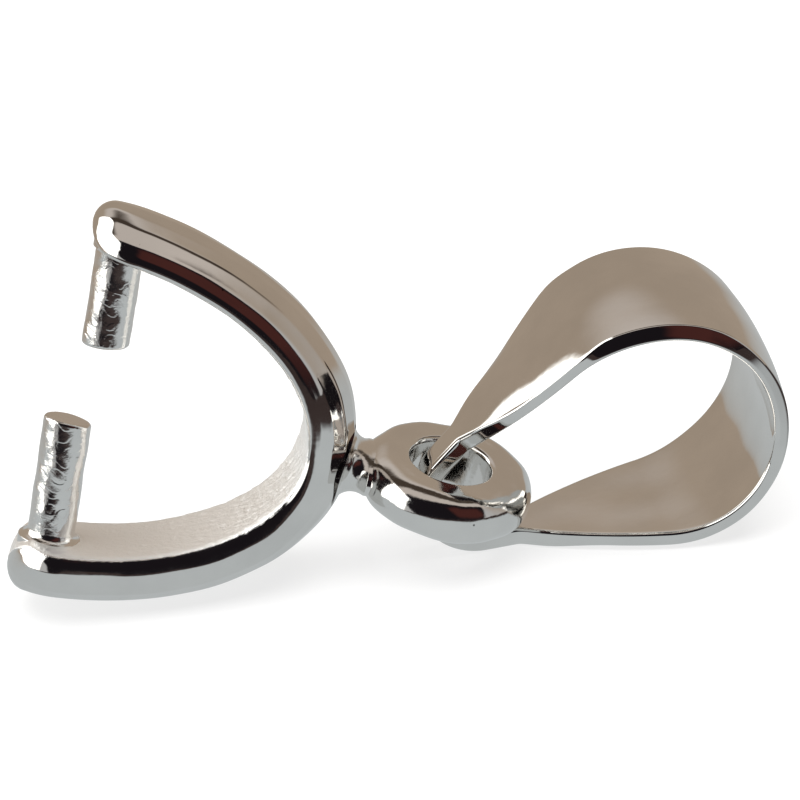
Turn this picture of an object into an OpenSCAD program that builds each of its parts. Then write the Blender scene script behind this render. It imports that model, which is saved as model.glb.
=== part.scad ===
// Pinch bail: a cast claw with two pegs that grip a drilled stone, a neck and a flat eye,
// and a teardrop strap loop that threads the eye and swings on its far rim.
// Millimetres. The loop's long side and the claw's lower arm rest on z = 0, the loop points
// along +X and swings about a line along Y, straight above the origin.

/* [Pose] */
// Slope of the claw down from its open end to the eye, in degrees
claw_slope = 18.6; // [14:0.1:24]
// Turn of the claw about the vertical, seen from above, in degrees
claw_turn = -10.6; // [-14:0.1:-4]
// Twist of the arms about the claw's long axis against the flat eye, in degrees
claw_roll = -12; // [-14:0.1:-8]

/* [Claw arms] */
// Distance from the crown of the claw to the tips, along the middle of the band
claw_reach = 5.38; // [4.6:0.01:6.3]
// Height between the middles of the two tips
claw_height = 6.84; // [6:0.01:7.6]
// Radius of the crown, to the middle of the band
crown_radius = 2.5; // [2.3:0.01:2.7]
// Width of the band across the claw
band_width = 2.3; // [2:0.01:2.4]
// Thickness of the band from its flat inside to its crest
band_thick = 1.0; // [0.9:0.01:1.15]
// Angle at which the upper arm still opens at its tip, in degrees
upper_toe = 2.4; // [-5:0.1:6]
// Angle at which the lower arm still opens at its tip, in degrees
lower_toe = -3.6; // [-6:0.1:5]
// Radius of the rounded end of each arm, seen from above
tip_radius = 1.25; // [1.2:0.01:1.6]

/* [Pegs] */
// Diameter of both pegs
peg_dia = 0.88; // [0.6:0.01:1.1]
// Length of the upper peg below the flat inside of its arm
upper_peg_length = 1.78; // [1:0.01:2.4]
// Length of the lower peg above the flat inside of its arm
lower_peg_length = 2.5; // [1:0.01:2.8]
// Distance from the tip of the upper arm to the middle of its peg's foot
upper_peg_setback = 0.66; // [0.55:0.01:1.2]
// Distance from the tip of the lower arm to the middle of its peg's foot
lower_peg_setback = 0.6; // [0.55:0.01:1.2]
// How much wider than the peg its tapered foot is where it enters the arm
peg_foot_flare = 0.1; // [0.04:0.01:0.1]
// Height of the tapered foot above the flat inside of the arm
peg_foot_rise = 0.22; // [0.14:0.01:0.26]
// Lean of both pegs away from square to the claw, in degrees
peg_lean = 3.5; // [-4:0.1:6]

/* [Neck and eye] */
// Outside diameter of the eye
eye_dia = 3.35; // [3.1:0.05:3.6]
// Diameter of the hole in the eye
eye_hole = 1.58; // [1.4:0.01:1.7]
// Thickness of the eye
eye_thick = 1.0; // [0.8:0.01:1.2]
// Radius of the rounded outer rim of the eye
eye_rim_round = 0.47; // [0.2:0.01:0.49]
// Radius of the rounded edge of the hole
hole_round = 0.12; // [0.05:0.01:0.2]
// Diameter of the neck where it is thinnest
neck_dia = 0.95; // [0.7:0.01:1.1]
// Length of the neck between the crown of the claw and the rim of the eye
neck_length = 0.22; // [0.1:0.01:0.4]
// Radius of the hollow fillet that joins the neck to the crown
neck_fillet = 0.35; // [0.2:0.01:0.45]
// How far the middle of the claw lies above the middle of the eye
claw_lift = 0.21; // [0.1:0.01:0.45]

/* [Loop] */
// Thickness of the strap
strap_thick = 0.38; // [0.3:0.01:0.42]
// Inside radius of the round end of the loop
round_inside = 2.16; // [1.8:0.01:2.6]
// Inside radius of the fold that goes through the eye
fold_inside = 0.84; // [0.8:0.01:0.9]
// Distance between the centres of the round end and of the fold
loop_reach = 3.61; // [3.2:0.01:4.5]
// Width of the strap at the fold
strap_narrow = 0.66; // [0.5:0.01:0.8]
// Width of the strap at the round end
strap_wide = 3.5; // [2.8:0.05:4]
// Radius of the long curve by which the strap widens
flare_radius = 8.5; // [8:0.1:10]
// Distance from the fold's centre to where the strap is widest
flare_reach = 4.95; // [4.8:0.01:5.4]
// Slack of the fold behind the rim that it hangs on
fold_slack = 0.57; // [0.45:0.01:0.6]

/* [Hidden] */
$fn = 96;
eps = 0.001;
// Bends run on past their ends by a lap and are thinner by a hair a side, so that no two faces
// of neighbouring stretches lie in one plane
lap = 0.06;
hair = 0.003;
// How deep the neck's flare starts below the crest of the crown, and how deep it enters the eye
neck_sink = 0.26;
eye_bite = 0.3;
// How deep a peg's tapered foot starts below the flat inside of its arm
foot_sink = 0.08;
// Spare width of the blank that the arms' plan is cut from, beyond the band
plan_spare = 0.4;

// Half section of the band, from the edge of the flat to the crest:
// [share of half the width, share of the thickness above the flat]
band_rows = [[0.84, 0.0], [0.93, 0.04], [0.985, 0.15], [1.0, 0.32], [0.985, 0.48], [0.9, 0.66],
             [0.64, 0.86], [0.33, 0.965], [0.0, 1.0]];

half_thick = band_thick / 2;
eye_mid = (eye_dia + eye_hole) / 4;
crown_x = -(eye_dia / 2 + neck_length + half_thick);
tip_x = crown_x - claw_reach;
crown_centre = [crown_x - crown_radius, 0];

// Half the angle between the straight arms of the loop
half_angle = asin((round_inside - fold_inside) / loop_reach);

// Where the loop crosses the eye's rim, as an angle about the eye's own axis
slew = atan(-tan(claw_turn) * cos(claw_slope));

// An arm is one arc from the crown's arc to the tip, side = 1 for the upper and -1 for the lower
function tip_normal(side, toe) = [sin(toe), side * cos(toe)];
function from_crown(side) = [tip_x, side * claw_height / 2] - crown_centre;
function arm_radius(side, toe) = let (v = from_crown(side))
    (v * v - crown_radius * crown_radius) / (2 * (v * tip_normal(side, toe) - crown_radius));
function arm_centre(side, toe) =
    crown_centre + from_crown(side) - arm_radius(side, toe) * tip_normal(side, toe);
// Angle from the eye's axis to where the crown's arc passes into the arm's arc
function crown_half(side, toe) = let (u = crown_centre - arm_centre(side, toe))
    atan2(abs(u[1]), u[0]);

// Height of the flat inside of an arm above the claw's middle plane, at a distance from its tip
function inside_level(side, toe, setback) =
    let (c = arm_centre(side, toe), x = tip_x + setback - c[0])
    c[1] + side * sqrt(pow(arm_radius(side, toe) - half_thick, 2) - x * x);

// Depth of the lowest point of the lower arm under the hinge, in the resting pose: the arm is a ring
// about its own centre, and the twist brings one side of its crest lowest
lower_centre = arm_centre(-1, lower_toe);
plumb = [sin(claw_slope), cos(claw_roll) * cos(claw_slope)];
crest_drop = max([for (r = band_rows)
    (arm_radius(-1, lower_toe) + (r[1] - 0.5) * band_thick) * norm(plumb)
    + r[0] * band_width / 2 * abs(sin(claw_roll)) * cos(claw_slope)]);
hinge_z = crest_drop + (lower_centre[0] - eye_mid * cos(slew)) * plumb[0]
    - lower_centre[1] * plumb[1] - claw_lift * cos(claw_slope);

// Section of the band with its crest away from the centre of the bend, less a skin all round
module band_section(radius, less) {
    outline = [for (r = band_rows) [r[0] * (band_width / 2 - less),
                                    (r[1] - 0.5) * (band_thick - 2 * less)]];
    mirrored = [for (i = [len(outline) - 2 : -1 : 0]) [-outline[i][0], outline[i][1]]];
    polygon([for (q = concat(outline, mirrored)) [radius + q[1], q[0]]]);
}

// Band bent round a centre in the claw's plane from one angle to another
module band_arc(centre, radius, start, end, less) {
    translate([centre[0], 0, centre[1]]) rotate([90, 0, 0]) rotate([0, 0, start])
        rotate_extrude(angle = end - start) band_section(radius, less);
}

module arm(side, toe) {
    start = crown_half(side, toe);
    end = 90 - toe;
    radius = arm_radius(side, toe);
    band_arc(arm_centre(side, toe), radius, side > 0 ? start : -end, side > 0 ? end : -start, 0);
}

module crown() {
    over = lap / crown_radius * 180 / PI;
    band_arc(crown_centre, crown_radius, -crown_half(-1, lower_toe) - over,
             crown_half(1, upper_toe) + over, hair);
}

// Plan of the claw: straight sides clear of the band, and a round end that trims the tips
module claw_plan() {
    reach = claw_reach + band_thick;
    translate([tip_x + tip_radius, -band_width / 2 - plan_spare])
        square([reach, band_width + 2 * plan_spare]);
    intersection() {
        translate([tip_x + tip_radius, 0]) circle(tip_radius);
        translate([tip_x, -tip_radius]) square([tip_radius + eps, 2 * tip_radius]);
    }
}

module claw_band() {
    intersection() {
        union() {
            arm(1, upper_toe);
            arm(-1, lower_toe);
            crown();
        }
        linear_extrude(2 * claw_height, center = true) claw_plan();
    }
}

// Half outline of a peg along its own axis: a spike root in the band, a tapered foot and the shank
module peg_outline(length) {
    shank = peg_dia / 2;
    polygon([[0, -half_thick], [shank + peg_foot_flare, -foot_sink], [shank, peg_foot_rise],
             [shank, length], [0, length]]);
}

// Peg standing inward on the flat inside of one arm, rooted in the middle of the band
module peg(side, toe, setback, length) {
    translate([tip_x + setback, 0, inside_level(side, toe, setback)])
        rotate([0, side > 0 ? 180 - peg_lean : -peg_lean, 0])
            rotate_extrude() peg_outline(length);
}

// Half of the eye's section: a flat washer with a rounded rim and a softened hole edge
module eye_section() {
    rim = min(eye_rim_round, eye_thick / 2 - eps);
    hole_x = eye_hole / 2;
    rim_x = eye_dia / 2;
    translate([hole_x + hole_round, -eye_thick / 2])
        square([rim_x - rim - hole_x - hole_round, eye_thick]);
    translate([hole_x, -eye_thick / 2 + hole_round])
        square([2 * hole_round, eye_thick - 2 * hole_round]);
    translate([rim_x - 2 * rim, -eye_thick / 2 + rim])
        square([2 * rim, eye_thick - 2 * rim]);
    for (side = [-1, 1]) {
        translate([hole_x + hole_round, side * (eye_thick / 2 - hole_round)]) circle(hole_round);
        translate([rim_x - rim, side * (eye_thick / 2 - rim)]) circle(rim);
    }
}

module eye() {
    rotate_extrude() eye_section();
}

// Half outline of the neck along its own axis: a bar that flares by a hollow fillet at the crown
module neck_outline() {
    start = half_thick - neck_sink;
    bar = neck_dia / 2;
    difference() {
        union() {
            square([bar, half_thick + neck_length + eye_bite]);
            square([bar + neck_fillet, start + neck_fillet]);
        }
        translate([bar + neck_fillet, start + neck_fillet]) circle(neck_fillet);
    }
}

module neck() {
    translate([crown_x, 0, 0]) rotate([0, 90, 0]) rotate_extrude() neck_outline();
}

module pinch_clip() {
    color("silver")
    translate([0, 0, hinge_z])
        rotate([0, claw_slope, claw_turn])
            translate([-eye_mid * cos(slew), -eye_mid * sin(slew), 0]) {
                translate([0, 0, claw_lift]) rotate([claw_roll, 0, 0]) {
                    claw_band();
                    peg(1, upper_toe, upper_peg_setback, upper_peg_length);
                    peg(-1, lower_toe, lower_peg_setback, lower_peg_length);
                }
                neck();
                eye();
            }
}

// Strap bent round a centre on the loop's axis, over the angles that the straight arms leave
module bend(centre, inside, turn, facing) {
    over = lap / inside * 180 / PI;
    span = turn + 2 * over;
    translate([centre, 0, 0]) rotate([90, 0, 0]) rotate([0, 0, facing - span / 2])
        rotate_extrude(angle = span)
            translate([inside + hair, -strap_wide / 2])
                square([strap_thick - 2 * hair, strap_wide]);
}

// Straight arm of the strap between the fold and the round end, side = 1 above the loop's axis
module straight_arm(side) {
    foot = side > 0 ? fold_inside : -fold_inside - strap_thick;
    rotate([0, -side * half_angle, 0]) translate([0, -strap_wide / 2, foot])
        cube([loop_reach * cos(half_angle), strap_wide, strap_thick]);
}

// Outline of the strap laid flat: an even strip that flares by one long curve a side
module strap_plan() {
    length = fold_inside + strap_thick + loop_reach;
    translate([-fold_inside - strap_thick, -strap_narrow / 2]) square([length, strap_narrow]);
    intersection() {
        translate([flare_reach, strap_wide / 2 - flare_radius]) circle(flare_radius);
        translate([flare_reach, flare_radius - strap_wide / 2]) circle(flare_radius);
    }
}

module bail_loop() {
    span = 2 * (round_inside + strap_thick);
    color("gainsboro")
    translate([-fold_slack, 0, fold_inside + strap_thick])
        rotate([0, -half_angle, 0])
            intersection() {
                union() {
                    bend(loop_reach, round_inside, 180 + 2 * half_angle, 0);
                    bend(0, fold_inside, 180 - 2 * half_angle, 180);
                    straight_arm(1);
                    straight_arm(-1);
                }
                linear_extrude(span + strap_thick, center = true) strap_plan();
            }
}

pinch_clip();
bail_loop();
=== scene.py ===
"""Pinch bail of polished silver: a cast claw with two pegs, a neck and an eye, and a strap loop.

Sizes are in millimetres in the makers' classes and become metres when a mesh is made. The finishes,
the floor and the room are in metres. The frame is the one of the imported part: the bail lies on
z = 0 and the loop points along +X. The claw's own frame has its origin in the middle of the eye,
x along the claw from the tips to the eye, and z towards the upper arm.
"""

import logging
import math
from dataclasses import dataclass
from enum import Enum

import bpy
import numpy as np
from mathutils import Matrix

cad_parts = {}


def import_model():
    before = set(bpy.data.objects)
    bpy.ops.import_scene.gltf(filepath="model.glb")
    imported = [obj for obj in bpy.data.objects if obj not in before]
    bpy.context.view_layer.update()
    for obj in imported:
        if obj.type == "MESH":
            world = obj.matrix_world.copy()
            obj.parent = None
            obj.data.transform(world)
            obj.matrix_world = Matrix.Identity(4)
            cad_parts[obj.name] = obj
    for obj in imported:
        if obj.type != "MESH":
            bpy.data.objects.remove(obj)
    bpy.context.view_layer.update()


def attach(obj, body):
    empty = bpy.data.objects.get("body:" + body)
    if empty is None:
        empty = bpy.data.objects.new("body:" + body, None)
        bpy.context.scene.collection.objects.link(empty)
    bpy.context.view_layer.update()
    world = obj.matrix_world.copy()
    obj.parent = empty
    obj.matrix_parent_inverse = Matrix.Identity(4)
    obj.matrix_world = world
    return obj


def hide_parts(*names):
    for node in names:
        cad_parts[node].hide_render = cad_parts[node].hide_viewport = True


MM = 0.001

Colour = tuple[float, float, float]
Span = tuple[float, float]
Socket = bpy.types.NodeSocket
Feed = float | Colour | Socket

log = logging.getLogger("pinch_bail")


class Body(Enum):
    """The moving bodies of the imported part."""

    CLIP = "clip"
    LOOP = "loop"


class Slot(Enum):
    """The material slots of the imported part."""

    CLAW = "claw_silver"
    LOOP = "loop_silver"


class Side(Enum):
    """Upper or lower arm of the claw, and its sign along z."""

    UPPER = 1
    LOWER = -1


def smooth_step(value: np.ndarray, low: float, high: float) -> np.ndarray:
    """Runs from 0 at low to 1 at high with level ends."""
    t = np.clip((value - low) / (high - low), 0, 1)
    return t * t * (3 - 2 * t)


def turn_about(axis: str, degrees: float) -> np.ndarray:
    """Matrix of a turn about one of the axes, by the right hand."""
    c, s = math.cos(math.radians(degrees)), math.sin(math.radians(degrees))
    if axis == "x":
        return np.array([[1, 0, 0], [0, c, -s], [0, s, c]])
    if axis == "y":
        return np.array([[c, 0, s], [0, 1, 0], [-s, 0, c]])
    return np.array([[c, -s, 0], [s, c, 0], [0, 0, 1]])


def facing(azimuth: float, elevation: float) -> tuple[np.ndarray, np.ndarray, np.ndarray]:
    """Unit vectors of a place round the bail.

    Args:
        azimuth: Where it stands, in degrees, 0 in front of the bail and 90 to its right.
        elevation: How high it stands, in degrees.

    Returns:
        The way to it, and the ways to its right and up for someone there who looks at the bail.
    """
    a, e = math.radians(azimuth), math.radians(elevation)
    way = np.array([math.sin(a) * math.cos(e), -math.cos(a) * math.cos(e), math.sin(e)])
    right = np.array([math.cos(a), math.sin(a), 0.0])
    return way, right, np.cross(way, right)


def even_walk(corners: np.ndarray, count: int) -> np.ndarray:
    """Walks a closed outline at even steps.

    Args:
        corners: Array (n, 2) of the outline's corners, without the first one repeated.
        count: Number of points wanted.

    Returns:
        Array (count, 2).
    """
    closed = np.vstack([corners, corners[:1]])
    way = np.r_[0, np.cumsum(np.linalg.norm(np.diff(closed, axis=0), axis=1))]
    even = np.linspace(0, way[-1], count, endpoint=False)
    return np.stack([np.interp(even, way, closed[:, k]) for k in (0, 1)], -1)


def sweep(line: np.ndarray, normals: np.ndarray, across: np.ndarray,
          height: np.ndarray) -> np.ndarray:
    """Carries a section along a line in the plane of x and z.

    Args:
        line: Array (rows, 2) of x and z.
        normals: Unit normals of the line, of the same shape.
        across: Places of the section's points along y, (rows, columns).
        height: Their heights along the normals, of the same shape.

    Returns:
        Array (rows, columns, 3).
    """
    x, z = (line[:, None, k] + normals[:, None, k] * height for k in (0, 1))
    return np.stack([x, across, z], -1)


def outward_normals(grid: np.ndarray, wrap_rows: bool) -> np.ndarray:
    """Unit normals of a closed grid of points, turned outwards.

    Args:
        grid: Array (rows, columns, 3) whose columns close.
        wrap_rows: Whether the last row meets the first; otherwise both ends are drawn shut.

    Returns:
        Array of the same shape.
    """
    if wrap_rows:
        down = np.roll(grid, -1, 0) - np.roll(grid, 1, 0)
    else:
        down = np.gradient(grid, axis=0)
    normal = np.cross(down, np.roll(grid, -1, 1) - np.roll(grid, 1, 1))
    if (normal * (grid - grid.mean((0, 1)))).sum() < 0:
        normal = -normal
    size = np.linalg.norm(normal, axis=-1, keepdims=True)
    return normal / np.maximum(size, 1e-12)


@dataclass(frozen=True)
class Ripple:
    """Repeatable unevenness of a face: a sum of sine waves in seeded random directions.

    Attributes:
        depth: Height of the waves.
        shortest: Shortest wavelength.
        longest: Longest wavelength.
        seed: Seed of the random directions, wavelengths and phases.
    """

    COUNT = 28

    depth: float
    shortest: float
    longest: float
    seed: int

    def shape(self, points: np.ndarray, batch: int = 0) -> np.ndarray:
        """The waves with a spread of about one.

        Args:
            points: Array (..., 3) of places.
            batch: Added to the seed, so that each copy of a piece is its own.

        Returns:
            Array of the leading shape.
        """
        rng = np.random.default_rng(self.seed + batch)
        ways = rng.normal(size=(self.COUNT, 3))
        ways /= np.linalg.norm(ways, axis=1, keepdims=True)
        span = math.log(self.shortest), math.log(self.longest)
        lengths = np.exp(rng.uniform(*span, self.COUNT))
        phase = rng.uniform(0, 2 * math.pi, self.COUNT)
        total = np.sin(points @ (ways * (2 * math.pi / lengths)[:, None]).T + phase)
        return total.sum(-1) * math.sqrt(2 / self.COUNT)

    def height(self, points: np.ndarray, batch: int = 0) -> np.ndarray:
        """The waves as heights, with the same arguments as shape."""
        return self.depth * self.shape(points, batch)


@dataclass
class Skin:
    """A surface on a grid of points, which becomes one mesh.

    Attributes:
        grid: Array (rows, columns, 3) in millimetres; the columns run round and close.
        wrap_rows: Whether the rows close on themselves as well; otherwise both ends get a cap.
        cast: Share of the cast finish, 0 where the metal is polished, for all or (rows, columns).
    """

    grid: np.ndarray
    wrap_rows: bool = False
    cast: float | np.ndarray = 0.0

    def faces(self) -> tuple[np.ndarray, list[list[int]]]:
        """Lists the quads of the grid and the two end caps.

        Returns:
            The quads as an array (n, 4), and the caps as lists of corners.
        """
        rows, columns = self.grid.shape[:2]
        index = np.arange(rows * columns).reshape(rows, columns)
        below = np.roll(index, -1, 0) if self.wrap_rows else index[1:]
        here = index if self.wrap_rows else index[:-1]
        quads = np.stack([here, below, np.roll(below, -1, 1), np.roll(here, -1, 1)], -1)
        caps = [] if self.wrap_rows else [index[0].tolist(), index[-1, ::-1].tolist()]
        return quads.reshape(-1, 4), caps

    def inside_out(self, quads: np.ndarray) -> bool:
        """Whether the quads face inwards, by the sign of the volume that they enclose."""
        points = self.grid.reshape(-1, 3)
        a, b, c, d = ((points - points.mean(0))[quads[:, k]] for k in range(4))
        return (np.cross(a, b) * c).sum() + (np.cross(a, c) * d).sum() < 0

    def make(self, name: str, body: Body, slot: Slot,
             material: bpy.types.Material) -> bpy.types.Object:
        """Makes the Blender object, smooth shaded, with its faces outwards, riding on its body.

        Args:
            name: Name of the piece.
            body: Body it moves with.
            slot: Material slot of the part that it would take its finish from; not used.
            material: The finish.

        Returns:
            The new object.
        """
        quads, caps = self.faces()
        mesh = bpy.data.meshes.new(name)
        mesh.from_pydata((self.grid * MM).reshape(-1, 3).tolist(), [], quads.tolist() + caps)
        mesh.update()
        if self.inside_out(quads):
            mesh.flip_normals()
        mesh.polygons.foreach_set("use_smooth", np.ones(len(mesh.polygons), bool))
        layer = mesh.attributes.new("cast", "FLOAT", "POINT")
        cast = np.broadcast_to(self.cast, self.grid.shape[:2])
        layer.data.foreach_set("value", cast.astype(np.float32).ravel())
        mesh.materials.append(material)
        piece = put(name, mesh)
        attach(piece, body.value)
        log.info("%s: %d points, %d faces", name, len(mesh.vertices), len(mesh.polygons))
        return piece


def put(name: str, data: bpy.types.ID) -> bpy.types.Object:
    """Makes an object of a mesh, a lamp or a camera and puts it in the scene."""
    thing = bpy.data.objects.new(name, data)
    bpy.context.scene.collection.objects.link(thing)
    return thing


class Bench:
    """Short ways to add nodes to one node tree."""

    def __init__(self, tree: bpy.types.NodeTree) -> None:
        """Keeps the tree."""
        self.tree = tree

    def feed(self, entry: Socket, value: Feed) -> None:
        """Links an input to the socket that feeds it, or sets its number or colour."""
        if isinstance(value, Socket):
            self.tree.links.new(value, entry)
        elif entry.type == "RGBA":
            entry.default_value = (*value, 1.0)
        else:
            entry.default_value = value

    def node(self, kind: str, inputs: dict[str | int, Feed], **settings: str) -> bpy.types.Node:
        """Adds a node.

        Args:
            kind: Type of the node without the leading "ShaderNode".
            inputs: What feeds each input, by the input's name or number.
            settings: Attributes of the node itself, such as its operation.

        Returns:
            The node.
        """
        node = self.tree.nodes.new("ShaderNode" + kind)
        for key, value in settings.items():
            setattr(node, key, value)
        for key, value in inputs.items():
            self.feed(node.inputs[key], value)
        return node

    def place(self, space: str) -> Socket:
        """The place or the direction of what is shaded, in the named space."""
        return self.node("TexCoord", {}).outputs[space]

    def ray(self, kind: str) -> Socket:
        """1 for a ray of the named kind and 0 for the others."""
        return self.node("LightPath", {}).outputs[kind]

    def calc(self, operation: str, first: Feed, second: Feed = 0.0) -> Socket:
        """Result of one operation on one or two numbers."""
        return self.node("Math", {0: first, 1: second}, operation=operation).outputs["Value"]

    def dot(self, first: Feed, second: np.ndarray) -> Socket:
        """Dot product of a direction with a fixed vector."""
        both = {0: first, 1: tuple(second)}
        return self.node("VectorMath", both, operation="DOT_PRODUCT").outputs["Value"]

    def mix(self, factor: Feed, first: Feed, second: Feed, kind: str = "RGBA") -> Socket:
        """Passes from the first colour to the second, or from number to number."""
        both = {"Factor": factor, "A": first, "B": second}
        return self.node("Mix", both, data_type=kind).outputs["Result"]

    def ramp(self, value: Feed, span: Span, ends: Span = (0.0, 1.0), smooth: bool = True) -> Socket:
        """Runs between two results while a value runs over a span, and holds them beyond it.

        Args:
            value: The value.
            span: The value at the start and at the end, in either order.
            ends: The results there.
            smooth: Whether both ends are level; otherwise the run is straight.

        Returns:
            The result.
        """
        limits = {"Value": value, "From Min": span[0], "From Max": span[1],
                  "To Min": ends[0], "To Max": ends[1]}
        kind = "SMOOTHSTEP" if smooth else "LINEAR"
        return self.node("MapRange", limits, interpolation_type=kind).outputs["Result"]

    def noise(self, place: Feed, scale: float, detail: float, rough: float = 0.5) -> Socket:
        """Noise with a number of cells to the metre and of octaves."""
        sizes = {"Vector": place, "Scale": scale, "Detail": detail, "Roughness": rough}
        return self.node("TexNoise", sizes).outputs["Fac"]

    def bump(self, height: Feed, strength: float, metres: float,
             normal: Socket | None = None) -> Socket:
        """Normal of a face with relief, over the normal that another relief gave, if any."""
        sizes = {"Height": height, "Strength": strength, "Distance": metres}
        if normal is not None:
            sizes["Normal"] = normal
        return self.node("Bump", sizes).outputs["Normal"]


@dataclass(frozen=True)
class PolishedSilver:
    """Mirror-polished silver with faint hand marks and, where marked, a pickled cast skin.

    TARNISH, SMEARS, MARKS and GRAIN are noises, each by its cells to the metre, its octaves and,
    if given, its roughness; their SPANs are the values between which they show. CHALK_SPAN is the
    share of cast finish over which it turns chalky, and PIT_EDGE the pit's edge, from the outside
    inwards, as shares of its width.

    Attributes:
        tint: Colour of the metal, linear.
        dull: Share of the tint that is left where the metal has dulled.
        roughness: Roughness of the polished face.
        smear: Least and greatest roughness of the polished face, as shares of it.
        cast_tint, cast_roughness: Colour and roughness of the cast skin.
        cast_chalk: Share of the light that the cast skin scatters like chalk.
        wave_depth, wave_metres: Strength and height of the waves of hand polishing.
        grain_depth, grain_metres: Strength and height of the cast skin's grain.
        pits_per_metre: How many cells of one possible pit lie along a metre.
        pit_share: Width of a pit as a share of its cell; 0 leaves the metal without pits.
        pit_tint: Colour in a pit, linear.
    """

    TARNISH = (900.0, 4.0)
    SMEARS = (2600.0, 6.0)
    MARKS = (1400.0, 3.0)
    GRAIN = (11000.0, 5.0, 0.6)
    TARNISH_SPAN = (0.35, 0.65)
    SMEAR_SPAN = (0.3, 0.75)
    CHALK_SPAN = (0.3, 1.0)
    PIT_EDGE = (0.6, 0.2)

    name: str
    tint: Colour = (0.80, 0.785, 0.76)
    dull: float = 0.93
    roughness: float = 0.06
    smear: Span = (0.6, 1.7)
    cast_tint: Colour = (0.985, 0.98, 0.965)
    cast_roughness: float = 0.42
    cast_chalk: float = 0.17
    wave_depth: float = 0.12
    wave_metres: float = 0.00004
    grain_depth: float = 0.55
    grain_metres: float = 0.00006
    pits_per_metre: float = 1150.0
    pit_share: float = 0.055
    pit_tint: Colour = (0.06, 0.055, 0.05)

    def colour(self, bench: Bench, place: Feed, cast: Feed) -> Socket:
        """Colour of the metal: slightly dulled in places, whiter where cast, dark in the pits."""
        dulled = tuple(self.dull * c for c in self.tint)
        tarnish = bench.noise(place, *self.TARNISH)
        clean = bench.ramp(tarnish, self.TARNISH_SPAN, smooth=False)
        frosted = bench.mix(cast, bench.mix(clean, dulled, self.tint), self.cast_tint)
        cells = bench.node("TexVoronoi", {"Vector": place, "Scale": self.pits_per_metre})
        edge = tuple(self.pit_share * share for share in self.PIT_EDGE)
        pit = bench.ramp(cells.outputs["Distance"], edge, smooth=False)
        return bench.mix(pit, frosted, self.pit_tint)

    def shine(self, bench: Bench, place: Feed, cast: Feed) -> Socket:
        """Roughness: uneven where fingers and the polishing cloth went, higher where cast."""
        ends = tuple(self.roughness * share for share in self.smear)
        smears = bench.noise(place, *self.SMEARS)
        polish = bench.ramp(smears, self.SMEAR_SPAN, ends, smooth=False)
        return bench.mix(cast, polish, self.cast_roughness, "FLOAT")

    def relief(self, bench: Bench, place: Feed, cast: Feed) -> Socket:
        """Normal of the face: fine grain where cast, under the waves of hand polishing."""
        grain = bench.calc("MULTIPLY", bench.noise(place, *self.GRAIN), cast)
        grained = bench.bump(grain, self.grain_depth, self.grain_metres)
        marks = bench.noise(place, *self.MARKS)
        return bench.bump(marks, self.wave_depth, self.wave_metres, grained)

    def make(self) -> bpy.types.Material:
        """Builds the node material, which reads the mesh's own layer named cast."""
        material = bpy.data.materials.new(self.name)
        material.use_nodes = True
        bench = Bench(material.node_tree)
        shader = material.node_tree.nodes["Principled BSDF"]
        place = bench.place("Object")
        cast = bench.node("Attribute", {}, attribute_name="cast").outputs["Fac"]
        ends = 1.0, 1.0 - self.cast_chalk
        metallic = bench.ramp(cast, self.CHALK_SPAN, ends, smooth=False)
        bench.feed(shader.inputs["Metallic"], metallic)
        bench.feed(shader.inputs["Base Color"], self.colour(bench, place, cast))
        bench.feed(shader.inputs["Roughness"], self.shine(bench, place, cast))
        bench.feed(shader.inputs["Normal"], self.relief(bench, place, cast))
        return material


@dataclass(frozen=True)
class EyeSizes:
    """Sizes of the eye, in millimetres.

    Attributes:
        radius, hole: Radii of the outside and of the hole.
        shoulder, hole_round: Radii of the rounded outer rim and of the hole's softened edges.
        uneven: Distances from the middle between which the waves of the rim set in.
    """

    radius: float = 1.675
    hole: float = 0.79
    thickness: float = 1.0
    shoulder: float = 0.47
    hole_round: float = 0.1
    uneven: Span = (1.0, 1.4)


@dataclass(frozen=True)
class ClawStand:
    """How the clip stands in the shared frame, in millimetres and degrees.

    Attributes:
        eye: Sizes of the eye, whose rim hangs in the loop's fold.
        slope, turn: How far the clip rises towards its tips, and its turn about the upright line.
        roll: Turn of the arms about their long line against the flat of the eye.
        lift: How far the middle of the claw lies above the middle of the eye.
        hinge_height: Height of the line on which the loop swings.
    """

    eye: EyeSizes
    slope: float = 18.6
    turn: float = -10.6
    roll: float = -12.0
    lift: float = 0.21
    hinge_height: float = 1.1074

    def shift(self) -> np.ndarray:
        """Shift, in the claw's own frame, that sets the eye's rim in the loop's fold."""
        slope, turn = math.radians(self.slope), math.radians(self.turn)
        slew = math.atan(-math.tan(turn) * math.cos(slope))
        rim_middle = (self.eye.radius + self.eye.hole) / 2
        return np.array([-rim_middle * math.cos(slew), -rim_middle * math.sin(slew), 0.0])

    def place(self, points: np.ndarray, raised: bool = True) -> np.ndarray:
        """Brings points from the claw's own frame into the shared one.

        Args:
            points: Array (..., 3) in millimetres.
            raised: Whether they belong to the arms, which are turned against the eye and lie
                above its middle.

        Returns:
            Array of the same shape.
        """
        if raised:
            points = points @ turn_about("x", self.roll).T + np.array([0, 0, self.lift])
        stand = turn_about("z", self.turn) @ turn_about("y", self.slope)
        return (points + self.shift()) @ stand.T + np.array([0, 0, self.hinge_height])


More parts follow.
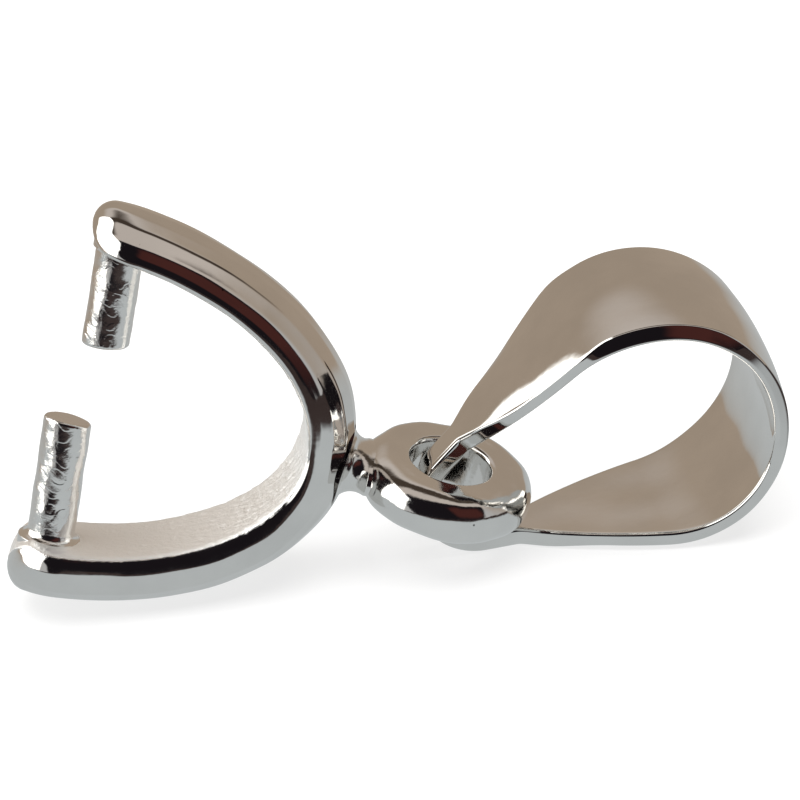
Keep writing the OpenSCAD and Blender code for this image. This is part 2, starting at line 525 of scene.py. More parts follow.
@dataclass(frozen=True)
class ClawSizes:
    """Sizes of the claw's band, in millimetres and degrees.

    Attributes:
        upper_reach, lower_reach: Distance along the claw from the crown to each tip.
        upper_height, lower_height: Distance of each tip from the claw's axis.
        width: Width across the band.
        upper_thickness, crown_thickness, lower_thickness: Thickness of the band along its way.
        crown_gap: Distance from the eye's middle to the middle of the band at the crown.
        crown_pull, tip_pull: How long the line keeps its direction at the crown and at a tip.
        upper_toe, lower_toe: Angle at which each arm still opens at its tip.
        edge_round: Spread of the rounding of the section's corners.
        tip_round, tip_blunt: Length over which a tip closes seen from above and from the side.
        upper_bulge: Shift of the upper arm's widest place inwards, as a share of the thickness.
        bulge_fade: Shares of the band's length between which that fades out.
        skin_edge: Heights over the flat inside between which the cast finish sets in.
        near_crown: Distances from the crown between which the cast grain grows.
        calm_tip: Distances from a tip between which the unevenness sets in.
    """

    upper_reach: float = 5.31
    lower_reach: float = 5.51
    upper_height: float = 3.57
    lower_height: float = 3.33
    width: float = 2.3
    upper_thickness: float = 0.84
    crown_thickness: float = 1.0
    lower_thickness: float = 1.12
    crown_gap: float = 2.34
    crown_pull: float = 1.95
    tip_pull: float = 2.9
    upper_toe: float = 2.4
    lower_toe: float = -3.6
    edge_round: float = 0.03
    tip_round: float = 1.0
    tip_blunt: float = 0.4
    upper_bulge: float = 0.2
    bulge_fade: Span = (0.46, 0.64)
    skin_edge: Span = (0.08, 0.01)
    near_crown: Span = (4.0, 0.9)
    calm_tip: Span = (0.1, 0.6)

    def tip(self, side: Side) -> np.ndarray:
        """Middle of one tip, as x and z in the claw's own frame."""
        if side is Side.UPPER:
            return np.array([-self.crown_gap - self.upper_reach, self.upper_height])
        return np.array([-self.crown_gap - self.lower_reach, -self.lower_height])

    def tip_thickness(self, side: Side) -> float:
        """Thickness of one arm."""
        return self.upper_thickness if side is Side.UPPER else self.lower_thickness

    def thickness(self, share: np.ndarray) -> np.ndarray:
        """Thickness along the band, from 0 at the upper tip over 0.5 at the crown to 1."""
        upper, lower = self.upper_thickness, self.lower_thickness
        values = (upper, upper, self.crown_thickness, lower, lower)
        return np.interp(share, (0.0, 0.2, 0.5, 0.8, 1.0), values)


class ClawBand:
    """The bent band of the claw: a crowned outside, a flat inside and rounded tips.

    HALF_ROWS is half the section, from the flat to the crest, as shares of half the width and of
    the thickness. CROWDING is how much closer the rows stand at the tips. A pit is where the waves
    of PITS stand higher than PIT_LEVEL. SWELL_INSIDE is the share of the swell that the flat inside
    keeps, and CAST_FAR and GRAIN_FAR are the shares of the cast finish and of its grain that the
    arms keep away from the crown.
    """

    ROWS = 430
    COLUMNS = 176
    LINE_POINTS = 400
    SECTION_POINTS = 4000
    CROWDING = 0.45
    HALF_ROWS = ((0.84, 0.0), (0.93, 0.04), (0.985, 0.15), (1.0, 0.32), (0.985, 0.48),
                 (0.90, 0.66), (0.64, 0.86), (0.33, 0.965), (0.0, 1.0))
    SWELL = Ripple(0.008, 1.1, 2.8, 11)
    PITS = Ripple(0.014, 0.14, 0.30, 12)
    PIT_LEVEL = 1.3
    GRAIN = Ripple(0.0042, 0.12, 0.36, 13)
    SWELL_INSIDE = 0.5
    CAST_FAR = 0.8
    GRAIN_FAR = 0.4

    def __init__(self, sizes: ClawSizes, stand: ClawStand) -> None:
        """Keeps the sizes and the stand."""
        self.sizes = sizes
        self.stand = stand

    def half_line(self, side: Side) -> np.ndarray:
        """Middle line of one arm, from the crown to the tip, as one cubic curve.

        Args:
            side: Which arm.

        Returns:
            Array (n, 2) of x and z.
        """
        s, z = self.sizes, side.value
        toe = math.radians(s.upper_toe if side is Side.UPPER else s.lower_toe)
        tip = s.tip(side)
        ends = np.array([
            [-s.crown_gap, 0],
            [-s.crown_gap, z * s.crown_pull],
            tip + s.tip_pull * np.array([math.cos(toe), -z * math.sin(toe)]),
            tip,
        ])
        t = np.linspace(0, 1, self.LINE_POINTS)[:, None]
        share = np.hstack([(1 - t) ** 3, 3 * t * (1 - t) ** 2, 3 * t * t * (1 - t), t ** 3])
        return share @ ends

    def middle_line(self) -> tuple[np.ndarray, np.ndarray, np.ndarray]:
        """Middle line of the whole band from the upper tip to the lower one.

        Returns:
            The points (rows, 2), the outward normals (rows, 2) and the way along the line.
        """
        line = np.vstack([self.half_line(Side.UPPER)[::-1], self.half_line(Side.LOWER)[1:]])
        way = np.r_[0, np.cumsum(np.linalg.norm(np.diff(line, axis=0), axis=1))]
        even = np.linspace(0, 1, self.ROWS)
        closer = 0.5 - 0.5 * np.cos(math.pi * even)
        stations = way[-1] * ((1 - self.CROWDING) * even + self.CROWDING * closer)
        points = np.stack([np.interp(stations, way, line[:, k]) for k in (0, 1)], -1)
        slope = np.gradient(points, stations, axis=0)
        slope /= np.linalg.norm(slope, axis=1, keepdims=True)
        return points, np.stack([-slope[:, 1], slope[:, 0]], -1), stations

    def section(self) -> np.ndarray:
        """Section of the band: a flat inside, upright edges and a crowned outside.

        The corners of HALF_ROWS are joined by straight lines, walked at even steps and rounded by
        a Gaussian of edge_round along the walk.

        Returns:
            Array (columns, 2) of place across and height above the middle, in millimetres.
        """
        s = self.sizes
        half = np.array(self.HALF_ROWS) - np.array([0, 0.5])
        whole = np.vstack([half, half[-2::-1] * np.array([-1, 1])])
        corners = whole * np.array([s.width / 2, s.crown_thickness])
        fine = even_walk(corners, self.SECTION_POINTS)
        around = np.linalg.norm(fine - np.roll(fine, -1, 0), axis=1).sum()
        pitch = np.fft.fftfreq(len(fine), around / len(fine))
        blur = np.exp(-2 * (math.pi * pitch * s.edge_round) ** 2)[:, None]
        rounded = np.fft.ifft(np.fft.fft(fine, axis=0) * blur, axis=0).real
        return even_walk(rounded, self.COLUMNS)

    def closing(self, from_tip: np.ndarray, length: float) -> np.ndarray:
        """Share of the full size at distances from a tip that closes as a quarter ellipse."""
        left = 1 - np.clip(from_tip / length, 0, 1)
        return np.sqrt(np.maximum(1 - left ** 2, 0))

    def skin(self) -> Skin:
        """Carries the section along the middle line, closes it at the tips and roughens it.

        The widest place of the upper half lies closer to the flat, by upper_bulge times a sine of
        the share of the thickness, where the polishing wheel took more from the outside.

        Returns:
            The band's surface in the shared frame.
        """
        s = self.sizes
        points, normals, way = self.middle_line()
        ring = self.section()
        along = (way / way[-1])[:, None]
        from_tip = np.minimum(way, way[-1] - way)[:, None]
        across = self.closing(from_tip, s.tip_round) * ring[:, 0]
        share = ring[:, 1] / s.crown_thickness + 0.5
        polished = 1 - smooth_step(along, *s.bulge_fade)
        share = share - s.upper_bulge * polished * np.sin(math.pi * np.clip(share, 0, 1))
        height = self.closing(from_tip, s.tip_blunt) * s.thickness(along) * (share - 0.5)
        grid = sweep(points, normals, across, height)

        above_flat = s.crown_thickness / 2 + ring[:, 1]
        inside = smooth_step(above_flat, *s.skin_edge)
        near_crown = smooth_step(-s.crown_gap - grid[..., 0], *s.near_crown)
        cast = inside * (self.CAST_FAR + (1 - self.CAST_FAR) * near_crown)
        swell = self.SWELL.height(grid) * (1 - (1 - self.SWELL_INSIDE) * inside)
        pits = self.PITS.depth * np.maximum(self.PITS.shape(grid) - self.PIT_LEVEL, 0) * cast
        grain = self.GRAIN.height(grid) * cast
        grain = grain * (self.GRAIN_FAR + (1 - self.GRAIN_FAR) * near_crown)
        rough = smooth_step(from_tip, *s.calm_tip) * (swell - pits + grain)
        grid = grid + outward_normals(grid, False) * rough[..., None]
        return Skin(self.stand.place(grid), cast=cast)


@dataclass(frozen=True)
class PegSizes:
    """Sizes of one peg, in millimetres and degrees.

    Attributes:
        side: Arm that it stands on.
        setback: Distance from the arm's tip to the middle of the peg's foot.
        length: Length over the flat inside of the arm.
        lean: Lean away from square to the claw.
        sink: How deep the peg starts in the arm.
        calm_foot: Height over which the unevenness sets in.
        tooth_pitch, tooth_depth: Distance between the marks of the file, and their depth.
        fillet, end_round: Radii of the hollow at the foot and of the end's worn edge.
        end_slant: Rise of the end's face over the radius.
        slant_reach: Length of shank that takes it up.
        seed: Seed of the peg's unevenness.
    """

    side: Side
    setback: float
    length: float
    radius: float = 0.455
    lean: float = 3.5
    sink: float = 0.22
    calm_foot: float = 0.2
    tooth_pitch: float = 0.42
    tooth_depth: float = 0.0035
    fillet: float = 0.16
    end_round: float = 0.07
    end_slant: float = 0.0
    slant_reach: float = 0.5
    seed: int = 1


class Peg:
    """A peg filed from round wire: a wavy shank with a fillet at its foot and a worn end.

    END_ROWS is the share of the rows that the end takes, and SLANT the way in which it rises. The
    waves of WANDER shift the marks of the file, counted in marks.
    """

    ROWS = 420
    COLUMNS = 160
    END_ROWS = 0.16
    SLANT = (0.8, 0.6)
    SWELL = Ripple(0.006, 0.4, 0.9, 0)
    SWELL_STRETCH = (1.0, 1.0, 0.8)
    GRAIN = Ripple(0.001, 0.17, 0.3, 1)
    WANDER = Ripple(0.45, 0.25, 0.6, 2)
    CAST = 0.12

    def __init__(self, sizes: PegSizes, band: ClawBand) -> None:
        """Keeps the sizes and the band that the peg stands on."""
        self.sizes = sizes
        self.band = band

    def foot(self) -> np.ndarray:
        """Middle of the peg's foot on the flat inside of its arm, in the claw's own frame."""
        side, claw = self.sizes.side, self.band.sizes
        line = self.band.half_line(side)
        x = claw.tip(side)[0] + self.sizes.setback
        z = np.interp(-x, -line[:, 0], line[:, 1])
        return np.array([x, 0, z - side.value * claw.tip_thickness(side) / 2])

    def profile(self) -> tuple[np.ndarray, np.ndarray]:
        """Half outline from the sunk foot over the fillet and the shank to the middle of the end.

        Returns:
            The radius and the height of each row.
        """
        p = self.sizes
        along = np.linspace(0, 1, self.ROWS)
        shank = np.clip(along / (1 - self.END_ROWS), 0, 1)
        end = np.clip((along - (1 - self.END_ROWS)) / self.END_ROWS, 0, 1)
        turn = np.clip(end * 2, 0, 1) * math.pi / 2
        inwards = np.clip(end * 2 - 1, 0, 1)
        height = -p.sink + (p.length - p.end_round + p.sink) * shank + p.end_round * np.sin(turn)
        foot = np.clip(1 - height / p.fillet, 0, 1)
        radius = p.radius + p.fillet * (1 - np.sqrt(np.maximum(1 - foot ** 2, 0)))
        return (radius - p.end_round * (1 - np.cos(turn))) * (1 - inwards), height

    def skin(self) -> Skin:
        """Turns the half outline about the peg's axis and adds the file's teeth and unevenness.

        A tooth widens the peg downwards by tooth_depth over tooth_pitch and steps back.

        Returns:
            The surface in the shared frame.
        """
        p = self.sizes
        upper = p.side is Side.UPPER
        radius, height = (row[:, None] for row in self.profile())
        angle = np.linspace(0, 2 * math.pi, self.COLUMNS, endpoint=False)
        local = np.stack(np.broadcast_arrays(
            radius * np.cos(angle), radius * np.sin(angle), height), -1)
        shank = smooth_step(height, 0.0, p.calm_foot)
        rough = self.SWELL.height(local * np.array(self.SWELL_STRETCH), p.seed)
        rough += self.GRAIN.height(local, p.seed)
        teeth = (height if upper else -height) / p.tooth_pitch + self.WANDER.height(local, p.seed)
        rough += p.tooth_depth * (teeth - np.floor(teeth) - 0.5) * shank
        slant = p.end_slant * (local[..., :2] @ np.array(self.SLANT)) / p.radius
        local[..., :2] *= (1 + shank * rough / p.radius)[..., None]
        local[..., 2] += slant * smooth_step(height, p.length - p.slant_reach, p.length)
        turned = local @ turn_about("y", 180 - p.lean if upper else -p.lean).T
        return Skin(self.band.stand.place(turned + self.foot()), cast=self.CAST)


@dataclass(frozen=True)
class NeckSizes:
    """Sizes of the neck, in millimetres.

    Attributes:
        radius: Radius of the bar.
        crown_fillet, crown_reach: How much wider it starts, and the length over which that falls.
        eye_fillet, eye_reach: How much wider it ends, to the sides, and over which length.
        eye_hollow: Power of the hollow by which it widens there.
        rim_depth: How deep in the eye's rim it is at its widest.
        dive: How much lower it is there.
        crown_bend: Radius of the crown's bend at the band's middle line.
        crest_drop: Fall of the crown's outside from crest to edge, as a share of its thickness.
        crest_share: Share of half the band's width over which that is followed.
        crown_sink, eye_bite: How deep it starts below the crest and ends in the eye.
    """

    radius: float = 0.475
    crown_fillet: float = 0.42
    crown_reach: float = 0.5
    eye_fillet: float = 0.34
    eye_reach: float = 0.6
    eye_hollow: float = 2.5
    rim_depth: float = 0.12
    dive: float = 0.05
    crown_bend: float = 2.5
    crest_drop: float = 0.62
    crest_share: float = 0.97
    crown_sink: float = 0.03
    eye_bite: float = 0.55


class Neck:
    """The short neck that joins the crown to the eye with a hollow fillet at each end."""

    ROWS = 110
    COLUMNS = 130
    SWELL = Ripple(0.0008, 0.7, 1.6, 31)
    CAST = 0.1

    def __init__(self, sizes: NeckSizes, band: ClawBand) -> None:
        """Keeps the sizes and the band that the neck starts from."""
        self.sizes = sizes
        self.band = band

    def crest(self, across: np.ndarray, up: np.ndarray) -> np.ndarray:
        """How far forward the crown's outside lies at a place across and above the claw's axis.

        Args:
            across: Places across the neck.
            up: Heights over the middle of the neck.

        Returns:
            The crown's x in the claw's own frame.
        """
        n, s, stand = self.sizes, self.band.sizes, self.band.stand
        roll = math.radians(-stand.roll)
        y = across * math.cos(roll) - (up - stand.lift) * math.sin(roll)
        z = across * math.sin(roll) + (up - stand.lift) * math.cos(roll)
        share = np.clip(np.abs(2 * y / s.width), 0, n.crest_share)
        height = s.crown_thickness * (0.5 - n.crest_drop * (1 - np.sqrt(1 - share ** 2)))
        bend = np.sqrt(np.maximum((n.crown_bend + height) ** 2 - z ** 2, 0))
        return -s.crown_gap - n.crown_bend + bend

    def skin(self) -> Skin:
        """Carries a circle from inside the crown's crest into the eye's rim.

        The radius falls by a quarter ellipse from the crest, where the start follows the crown's
        round, to the bar, and widens sideways again into the rim.

        Returns:
            The neck's surface in the shared frame.
        """
        n = self.sizes
        rim = -self.band.stand.eye.radius
        angle = np.linspace(0, 2 * math.pi, self.COLUMNS, endpoint=False)
        sin, cos = np.sin(angle), np.cos(angle)
        along = np.linspace(0, 1, self.ROWS)[:, None]
        wide = n.radius + n.crown_fillet
        start = self.crest(wide * sin, wide * cos) - n.crown_sink
        x = start + (rim + n.eye_bite - start) * along
        from_start = np.clip(1 - (x - start) / n.crown_reach, 0, 1)
        from_rim = np.clip(1 - (rim + n.rim_depth - x) / n.eye_reach, 0, 1)
        bar = n.radius + n.crown_fillet * (1 - np.sqrt(1 - from_start ** 2))
        sideways = bar + n.eye_fillet * from_rim ** n.eye_hollow
        upright = bar - n.dive * from_rim
        grid = np.stack([x, sideways * sin, upright * cos], -1)
        grid[..., 2] += self.SWELL.height(grid)
        return Skin(self.band.stand.place(grid, raised=False), cast=self.CAST)


class Eye:
    """The flat round eye with a cushion edge and a softened hole."""

    ROWS = 260
    COLUMNS = 150
    ARC_POINTS = 60
    SWELL = Ripple(0.009, 0.5, 1.5, 41)
    CAST = 0.05

    def __init__(self, stand: ClawStand) -> None:
        """Keeps the stand, which knows the sizes."""
        self.stand = stand

    def half_section(self) -> np.ndarray:
        """Half section as a closed ring of (radius, height), at even steps of the way round."""
        e = self.stand.eye
        turn = np.linspace(0, math.pi / 2, self.ARC_POINTS)
        outer, inner = (r * np.array([np.sin(turn), np.cos(turn)])
                        for r in (e.shoulder, e.hole_round))
        rim, rim_high = e.radius - e.shoulder, e.thickness / 2 - e.shoulder
        well, well_high = e.hole + e.hole_round, e.thickness / 2 - e.hole_round
        outline = np.hstack([
            [rim + outer[0], rim_high + outer[1]],
            [rim + outer[1], -rim_high - outer[0]],
            [well - inner[0], -well_high - inner[1]],
            [well - inner[1], well_high + inner[0]],
        ])
        return even_walk(outline.T, self.COLUMNS)

    def skin(self) -> Skin:
        """Turns the half section about the eye's axis and adds shallow waves to the outer rim.

        Returns:
            The eye's surface in the shared frame.
        """
        radius, height = self.half_section().T
        angle = np.linspace(0, 2 * math.pi, self.ROWS, endpoint=False)[:, None]
        grid = np.stack(np.broadcast_arrays(
            radius * np.cos(angle), radius * np.sin(angle), height), -1)
        swell = self.SWELL.height(grid) * smooth_step(radius, *self.stand.eye.uneven)
        grid = grid + outward_normals(grid, True) * swell[..., None]
        return Skin(self.stand.place(grid, raised=False), wrap_rows=True, cast=self.CAST)


@dataclass(frozen=True)
class LoopSizes:
    """Sizes of the strap loop, in millimetres and degrees.

    Angles round the loop count from its round end's far point, upwards over the top.

    Attributes:
        round_inside, fold_inside: Inside radii of the round end and of the fold in the eye.
        reach: Distance between the centres of the two.
        narrow, wide: Widths of the strap at the fold and at the round end.
        flare_radius: Radius of the long curve by which the strap widens.
        flare_reach: Distance from the fold's centre to where it is widest.
        flare_blend: Rounding between that curve and the narrow stretch.
        slack: Slack of the fold behind the rim that it hangs on.
        edge_wide, edge_deep: Width and depth of the outer edge's rounding.
        edge_most: Greatest share of half the strap's width that it takes.
        edge_turn: Angle that this turns through, in radians.
        corner: Radius of the inner edge.
        crown: How far the edges lie below the middle of the outside, where the strap is wide.
        crown_least: Share of the crown that is left away from the rise.
        crown_grows: Half widths between which the crown grows.
        rise, rise_grows: Angles and half widths between which the strap rises from the eye.
        narrow_crown: The crown where the strap is narrow.
        narrow_fade: Half widths between which that fades out.
        bevel: How far the edge slants back over its height, at the top of the round.
        bevel_least: Share of the bevel elsewhere.
        bevel_start, bevel_end: Angles between which the bevel grows and fades out.
        bevel_grows: Half widths between which it grows.
    """

    thickness: float = 0.38
    round_inside: float = 2.16
    fold_inside: float = 0.84
    reach: float = 3.61
    narrow: float = 0.66
    wide: float = 3.5
    flare_radius: float = 8.5
    flare_reach: float = 4.95
    flare_blend: float = 0.03
    slack: float = 0.57
    edge_wide: float = 0.05
    edge_deep: float = 0.035
    edge_most: float = 0.5
    edge_turn: float = 0.9
    corner: float = 0.09
    crown: float = 0.13
    crown_least: float = 0.8
    crown_grows: Span = (0.55, 1.15)
    rise: Span = (85, 108)
    rise_grows: Span = (0.4, 0.9)
    narrow_crown: float = 0.03
    narrow_fade: Span = (0.8, 1.25)
    bevel: float = 0.13
    bevel_least: float = 0.12
    bevel_start: Span = (8, 40)
    bevel_end: Span = (88, 106)
    bevel_grows: Span = (0.5, 1.2)


class StrapLoop:
    """The teardrop loop bent from a strap that widens from the fold to the round end.

    The FLAT, EDGE, SIDE and CORNER points are those of each stretch of half the section. The waves
    of SWELL are lowered by their own depth, so that they stay within the strap.
    """

    ROWS = 620
    FLAT_POINTS = 30
    EDGE_POINTS = 13
    SIDE_POINTS = 6
    CORNER_POINTS = 8
    SWELL = Ripple(0.0028, 1.0, 2.8, 51)

    def __init__(self, sizes: LoopSizes) -> None:
        """Keeps the sizes."""
        self.sizes = sizes

    def half_angle(self) -> float:
        """Half the angle between the straight arms, in radians."""
        s = self.sizes
        return math.asin((s.round_inside - s.fold_inside) / s.reach)

    def inside_line(self) -> tuple[np.ndarray, np.ndarray]:
        """Inside of the strap in the loop's own plane: the round, an arm, the fold, an arm.

        Returns:
            The points (rows, 2) of x and z, and the outward normals.
        """
        s, a = self.sizes, self.half_angle()
        arm, top = s.reach * math.cos(a), math.pi / 2 + a
        stretches = [0, s.round_inside * 2 * top, arm, s.fold_inside * 2 * (math.pi - top), arm]
        knots = np.cumsum(stretches)
        way = np.linspace(0, knots[-1], self.ROWS, endpoint=False)
        back = 2 * math.pi - top
        angle = np.interp(way, knots, [-top, top, top, back, back])
        normals = np.stack([np.cos(angle), np.sin(angle)], -1)
        along = np.stack([-normals[:, 1], normals[:, 0]], -1)
        first = way < knots[2]
        centre = np.where(first[:, None], [s.reach, 0], [0, 0])
        radius = np.where(first, s.round_inside, s.fold_inside)[:, None]
        run = np.maximum(way - np.where(first, knots[1], knots[3]), 0)[:, None]
        return centre + radius * normals + run * along, normals

    def half_width(self, x: np.ndarray) -> np.ndarray:
        """Half the strap's width at a distance along the loop, from one long curve a side."""
        s = self.sizes
        drop = np.sqrt(np.maximum(s.flare_radius ** 2 - (x - s.flare_reach) ** 2, 0))
        gap = s.wide / 2 - s.flare_radius + drop - s.narrow / 2
        return s.narrow / 2 + 0.5 * (gap + np.sqrt(gap ** 2 + s.flare_blend ** 2))

    def half_section(self) -> np.ndarray:
        """Half section of the strap in shares, so that it fits every width.

        The stretches are the outside, the rounded outer edge, the side, the rounded inner edge
        and the inside. Each row of numbers is one kind of share: of the flat part, of the edge's
        rounding, of the thickness, and of the bevel that is still to come.

        Returns:
            Array (4, n), from the middle of the outside round to the middle of the inside.
        """
        s = self.sizes
        flat = np.linspace(0, 1, self.FLAT_POINTS)
        turn = np.linspace(0, s.edge_turn, self.EDGE_POINTS + 1)[1:]
        side = np.linspace(0, 1, self.SIDE_POINTS + 2)[1:-1]
        low = np.linspace(0, math.pi / 2, self.CORNER_POINTS + 1)[1:]
        inside = flat[-2::-1]
        top, bottom = 1 - s.edge_deep / s.thickness, s.corner / s.thickness
        edge = np.sin(turn) / math.sin(s.edge_turn)
        drop = (1 - np.cos(turn)) / (1 - math.cos(s.edge_turn))
        tuck = 1 - s.corner / s.edge_wide * (1 - np.cos(low))
        stretches = (
            (flat, 0, 1, 1),
            (1, edge, 1 - (1 - top) * drop, 1),
            (1, 1, top + (bottom - top) * side, 1 - side),
            (1, tuck, bottom * (1 - np.sin(low)), 0),
            (inside, tuck[-1] * inside, 0, 0),
        )
        return np.hstack([np.stack(np.broadcast_arrays(*shares)) for shares in stretches])

    def skin(self) -> Skin:
        """Carries the section round the teardrop.

        The outside is crowned across the strap, most where the strap rises from the eye. The near
        and far edges slant at the top of the round, where the polishing wheel took most.

        Returns:
            The loop's surface in the shared frame.
        """
        s = self.sizes
        line, normals = self.inside_line()
        right = self.half_section()
        left = right[:, -2:0:-1] * np.array([[-1], [-1], [1], [1]])
        flats, rounds, heights, slants = np.hstack([right, left])
        sign = np.repeat([1, -1], [right.shape[1], left.shape[1]])
        half = self.half_width(line[:, 0] + normals[:, 0] * s.thickness / 2)[:, None]
        edge = np.minimum(s.edge_wide, s.edge_most * half)
        lean = np.degrees(np.arctan2(normals[:, 1], normals[:, 0]))[:, None]
        top = smooth_step(lean, *s.bevel_start) * (1 - smooth_step(lean, *s.bevel_end))
        bevel = s.bevel * (s.bevel_least + (1 - s.bevel_least) * top)
        bevel = bevel * smooth_step(half, *s.bevel_grows)
        across = (half - edge - bevel * slants) * flats + edge * rounds
        rising = smooth_step(lean, *s.rise) * smooth_step(half, *s.rise_grows)
        crown = s.crown * (s.crown_least + (1 - s.crown_least) * rising)
        sag = crown * (across / half) ** 2 * smooth_step(half, *s.crown_grows)
        narrow = 1 - smooth_step(half, *s.narrow_fade)
        sag = sag + s.narrow_crown * (across / half) ** 4 * narrow
        grid = sweep(line, normals, across, (s.thickness - sag) * heights)
        swell = self.SWELL.height(grid) - self.SWELL.depth
        grid = grid + outward_normals(grid, True) * swell[..., None]
        tilt = turn_about("y", -math.degrees(self.half_angle()))
        place = np.array([-s.slack, 0, s.fold_inside + s.thickness])
        return Skin(grid @ tilt.T + place, wrap_rows=True)


@dataclass(frozen=True)
class Shot:
    """Where the camera stands, in millimetres and degrees.

    Attributes:
        azimuth, elevation, roll: Where it stands, as angles, and the turn of the picture.
        target, distance: Place that it looks at, and the distance from there.
        lens, sensor: Focal length, and width of the sensor.
        clip: Nearest and farthest distance that it sees, in metres.
    """

    azimuth: float = -7.7122
    elevation: float = 30.1434
    roll: float = -6.2472
    target: tuple[float, float, float] = (-1.6, 1.954, 2.3211)
    distance: float = 108.4978
    lens: float = 252.98
    sensor: float = 36.0
    clip: Span = (0.005, 20.0)

    def make(self) -> bpy.types.Object:
        """Makes the camera and sets it as the scene's own."""
        back, right, up = facing(self.azimuth, self.elevation)
        r = math.radians(self.roll)
        data = bpy.data.cameras.new("studio_camera")
        data.sensor_width = self.sensor
        data.lens = self.lens
        data.clip_start, data.clip_end = self.clip
        camera = put("studio_camera", data)
        matrix = np.eye(4)
        matrix[:3, 0] = math.cos(r) * right + math.sin(r) * up
        matrix[:3, 1] = -math.sin(r) * right + math.cos(r) * up
        matrix[:3, 2] = back
        matrix[:3, 3] = (np.array(self.target) + back * self.distance) * MM
        camera.matrix_world = Matrix(matrix.tolist())
        bpy.context.scene.camera = camera
        return camera


@dataclass(frozen=True)
class SoftBox:
    """A soft lamp overhead that lights the floor and isn't mirrored in the metal.

    Attributes:
        height, size: Height over the floor, and side of the square lamp, in metres.
        power: Power in watts.
    """

    name: str
    height: float
    size: float
    power: float

    def make(self) -> bpy.types.Object:
        """Makes the lamp, facing straight down."""
        data = bpy.data.lights.new(self.name, "AREA")
        data.size = self.size
        data.energy = self.power
        lamp = put(self.name, data)
        lamp.matrix_world = Matrix.Translation((0.0, 0.0, self.height))
        lamp.visible_glossy = False
        lamp.visible_camera = False
        return lamp


@dataclass(frozen=True)
class Floor:
    """The pale floor, which the metal mirrors a shade darker than the camera sees it.

    In the mirror it is grey round the bail and warm behind it, and in front and at the right it
    turns to a near-black painted shade. The places are in metres.

    Attributes:
        reach: Half the side of the square floor.
        base, glow: Share of the light that it scatters, and its own light.
        roughness: Roughness of its face.
        near, behind, table: Mirrored colours round the bail, behind it and of the painted shade.
        behind_span: Places along y over which the first passes into the second.
        front_span: Places along y over which the painted shade sets in towards the front.
            right_span, right_end: Places along x and y over which the painted shade sets in at the
                right.
    """

    reach: float = 0.45
    base: float = 0.22
    glow: float = 0.75
    roughness: float = 0.95
    near: Colour = (0.52, 0.555, 0.57)
    behind: Colour = (0.40, 0.325, 0.255)
    behind_span: Span = (-0.003, 0.03)
    # painted shade: near-black floor colour that only the metal's reflections see, in front and at
    # the right
    table: Colour = (0.045, 0.032, 0.030)
    front_span: Span = (-0.014, -0.021)
    right_span: Span = (0.006, 0.011)
    right_end: Span = (0.006, 0.001)

    def mirrored(self, bench: Bench) -> Socket:
        """Colour of the floor as the metal mirrors it, darkened by the painted shade in front and
        at the right.
        """
        split = bench.node("SeparateXYZ", {"Vector": bench.place("Object")})
        x, y = split.outputs["X"], split.outputs["Y"]
        tone = bench.mix(bench.ramp(y, self.behind_span), self.near, self.behind)
        right, end = bench.ramp(x, self.right_span), bench.ramp(y, self.right_end)
        right = bench.calc("MULTIPLY", right, end)
        # mask of the painted shade: 1 in front of the bail and at its right
        dark = bench.calc("MAXIMUM", bench.ramp(y, self.front_span), right)
        return bench.mix(dark, tone, self.table)

    def make(self) -> bpy.types.Object:
        """Makes the floor as a square on z = 0."""
        mesh = bpy.data.meshes.new("floor")
        ways = ((-1, -1), (1, -1), (1, 1), (-1, 1))
        mesh.from_pydata([(x * self.reach, y * self.reach, 0) for x, y in ways], [], [(0, 1, 2, 3)])
        material = bpy.data.materials.new("pale_card")
        material.use_nodes = True
        bench = Bench(material.node_tree)
        nodes = material.node_tree.nodes
        shader = nodes["Principled BSDF"]
        bench.feed(shader.inputs["Roughness"], self.roughness)
        bench.feed(shader.inputs["Specular IOR Level"], 0.0)
        bench.feed(shader.inputs["Base Color"], (self.base, self.base, self.base))
        bench.feed(shader.inputs["Emission Color"], (1.0, 1.0, 1.0))
        bench.feed(shader.inputs["Emission Strength"], self.glow)
        mirror = bench.node("Emission", {"Color": self.mirrored(bench)}).outputs["Emission"]
        either = bench.node("MixShader", {0: bench.ray("Is Glossy Ray"),
                                          1: shader.outputs["BSDF"], 2: mirror})
        bench.feed(nodes["Material Output"].inputs["Surface"], either.outputs["Shader"])
        mesh.materials.append(material)
        floor = put("floor", mesh)
        return floor


@dataclass(frozen=True)
class Card:
    """One card, window or flag of the room, as the metal mirrors it.

    Attributes:
        azimuth: Way it stands in, in degrees, 0 in front of the bail and 90 to its right.
        elevation: Height of its middle in degrees.
        half_width, half_height: Half its width and height in degrees.
        soft: Softness of its edge, as a share of its size.
        colour: Its light, linear.
    """

    LEAST_AHEAD = 0.001

    name: str
    azimuth: float
    elevation: float
    half_width: float
    half_height: float
    soft: float
    colour: Colour

    def add(self, bench: Bench, way: Socket, behind: Socket) -> Socket:
        """Lays the card over what is behind it.

        The card is where the direction's tangents away from the card's middle, sideways and
        upwards, are less than those of its half sizes.

        Args:
            bench: Bench of the room's node tree.
            way: Direction that is looked in.
            behind: Colour behind the card.

        Returns:
            The colour with the card over it.
        """
        axis, right, up = facing(self.azimuth, self.elevation)
        ahead = bench.calc("MAXIMUM", bench.dot(way, axis), self.LEAST_AHEAD)
        masks = []
        for vector, half in ((right, self.half_width), (up, self.half_height)):
            reach = math.tan(math.radians(half))
            away = bench.calc("ABSOLUTE", bench.calc("DIVIDE", bench.dot(way, vector), ahead))
            edge = reach * (1 - self.soft), reach * (1 + self.soft)
            masks.append(bench.ramp(away, edge, (1.0, 0.0)))
        return bench.mix(bench.calc("MULTIPLY", *masks), behind, self.colour)


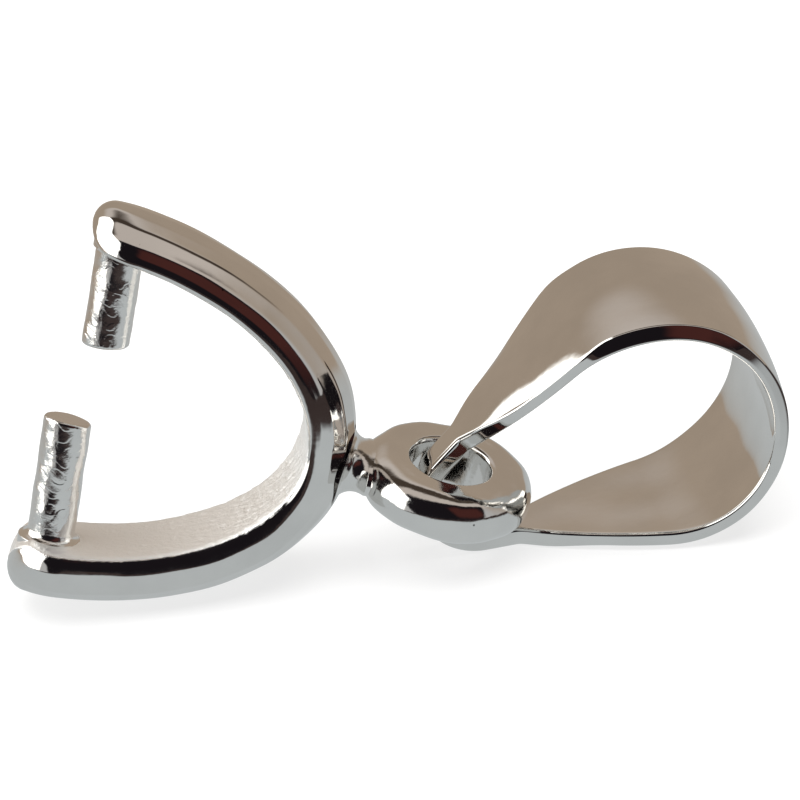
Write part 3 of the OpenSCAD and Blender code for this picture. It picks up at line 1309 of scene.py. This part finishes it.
CARDS = (
    Card("overhead_beam", 180, 70, 60, 14, 0.3, (0.06, 0.045, 0.034)),
    Card("dark_camera_side", 0, 36, 50, 39, 0.10, (0.010, 0.008, 0.010)),
    Card("red_drape", 34, 30, 13, 22, 0.5, (0.066, 0.021, 0.018)),
    Card("left_window", -99, 19, 35, 44, 0.08, (2.3, 2.3, 2.25)),
)


@dataclass(frozen=True)
class Room:
    """The room round the bail: grey and warm walls, a paler ceiling, and cards over them.

    Attributes:
        cards: The cards, each over those before it.
        front_wall, back_wall: Colours of the walls in front and at the sides, and behind.
        wall_span: Directions along y over which one passes into the other.
        ceiling, ceiling_span: Colour of the ceiling, and directions along z over which it sets in.
        backdrop: Colour that the camera sees behind everything.
    """

    cards: tuple[Card, ...] = CARDS
    front_wall: Colour = (0.50, 0.50, 0.50)
    back_wall: Colour = (0.40, 0.325, 0.255)
    wall_span: Span = (-0.55, 0.15)
    ceiling: Colour = (0.58, 0.52, 0.475)
    ceiling_span: Span = (0.46, 0.72)
    backdrop: Colour = (0.95, 0.95, 0.95)

    def make(self) -> bpy.types.World:
        """Makes the world and sets it as the scene's own."""
        world = bpy.data.worlds.new("soft_room")
        world.use_nodes = True
        bench = Bench(world.node_tree)
        way = bench.place("Generated")
        split = bench.node("SeparateXYZ", {"Vector": way})
        backward = bench.ramp(split.outputs["Y"], self.wall_span)
        upward = bench.ramp(split.outputs["Z"], self.ceiling_span)
        walls = bench.mix(backward, self.front_wall, self.back_wall)
        colour = bench.mix(upward, walls, self.ceiling)
        for card in self.cards:
            colour = card.add(bench, way, colour)
        seen = bench.mix(bench.ray("Is Camera Ray"), colour, self.backdrop)
        bench.feed(world.node_tree.nodes["Background"].inputs["Color"], seen)
        bpy.context.scene.world = world
        return world


def main() -> None:
    """Builds the piece and the studio in order."""
    logging.basicConfig(level=logging.INFO, format="%(message)s")
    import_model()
    claw_finish = PolishedSilver("claw_silver").make()
    smoother = PolishedSilver("loop_silver", roughness=0.05, wave_depth=0.08, pit_share=0.0)
    loop_finish = smoother.make()
    stand = ClawStand(EyeSizes())
    band = ClawBand(ClawSizes(), stand)
    claw = band.skin().make("claw_band", Body.CLIP, Slot.CLAW, claw_finish)
    upper = Peg(PegSizes(Side.UPPER, 0.62, 1.92, fillet=0.06, end_slant=0.03, seed=21), band)
    lower = Peg(PegSizes(Side.LOWER, 0.7, 2.38, end_slant=-0.06, seed=24), band)
    upper.skin().make("upper_peg", Body.CLIP, Slot.CLAW, claw_finish)
    lower.skin().make("lower_peg", Body.CLIP, Slot.CLAW, claw_finish)
    Neck(NeckSizes(), band).skin().make("neck", Body.CLIP, Slot.CLAW, claw_finish)
    Eye(stand).skin().make("eye", Body.CLIP, Slot.CLAW, claw_finish)
    loop = StrapLoop(LoopSizes()).skin().make("strap_loop", Body.LOOP, Slot.LOOP, loop_finish)
    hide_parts("pinch_clip")
    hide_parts("bail_loop")
    Floor().make()
    Room().make()
    SoftBox("top_lamp", 0.8, 0.9, 14.0).make()
    Shot().make()
    bpy.context.scene.view_settings.view_transform = "Standard"


if __name__ == "__main__":
    main()
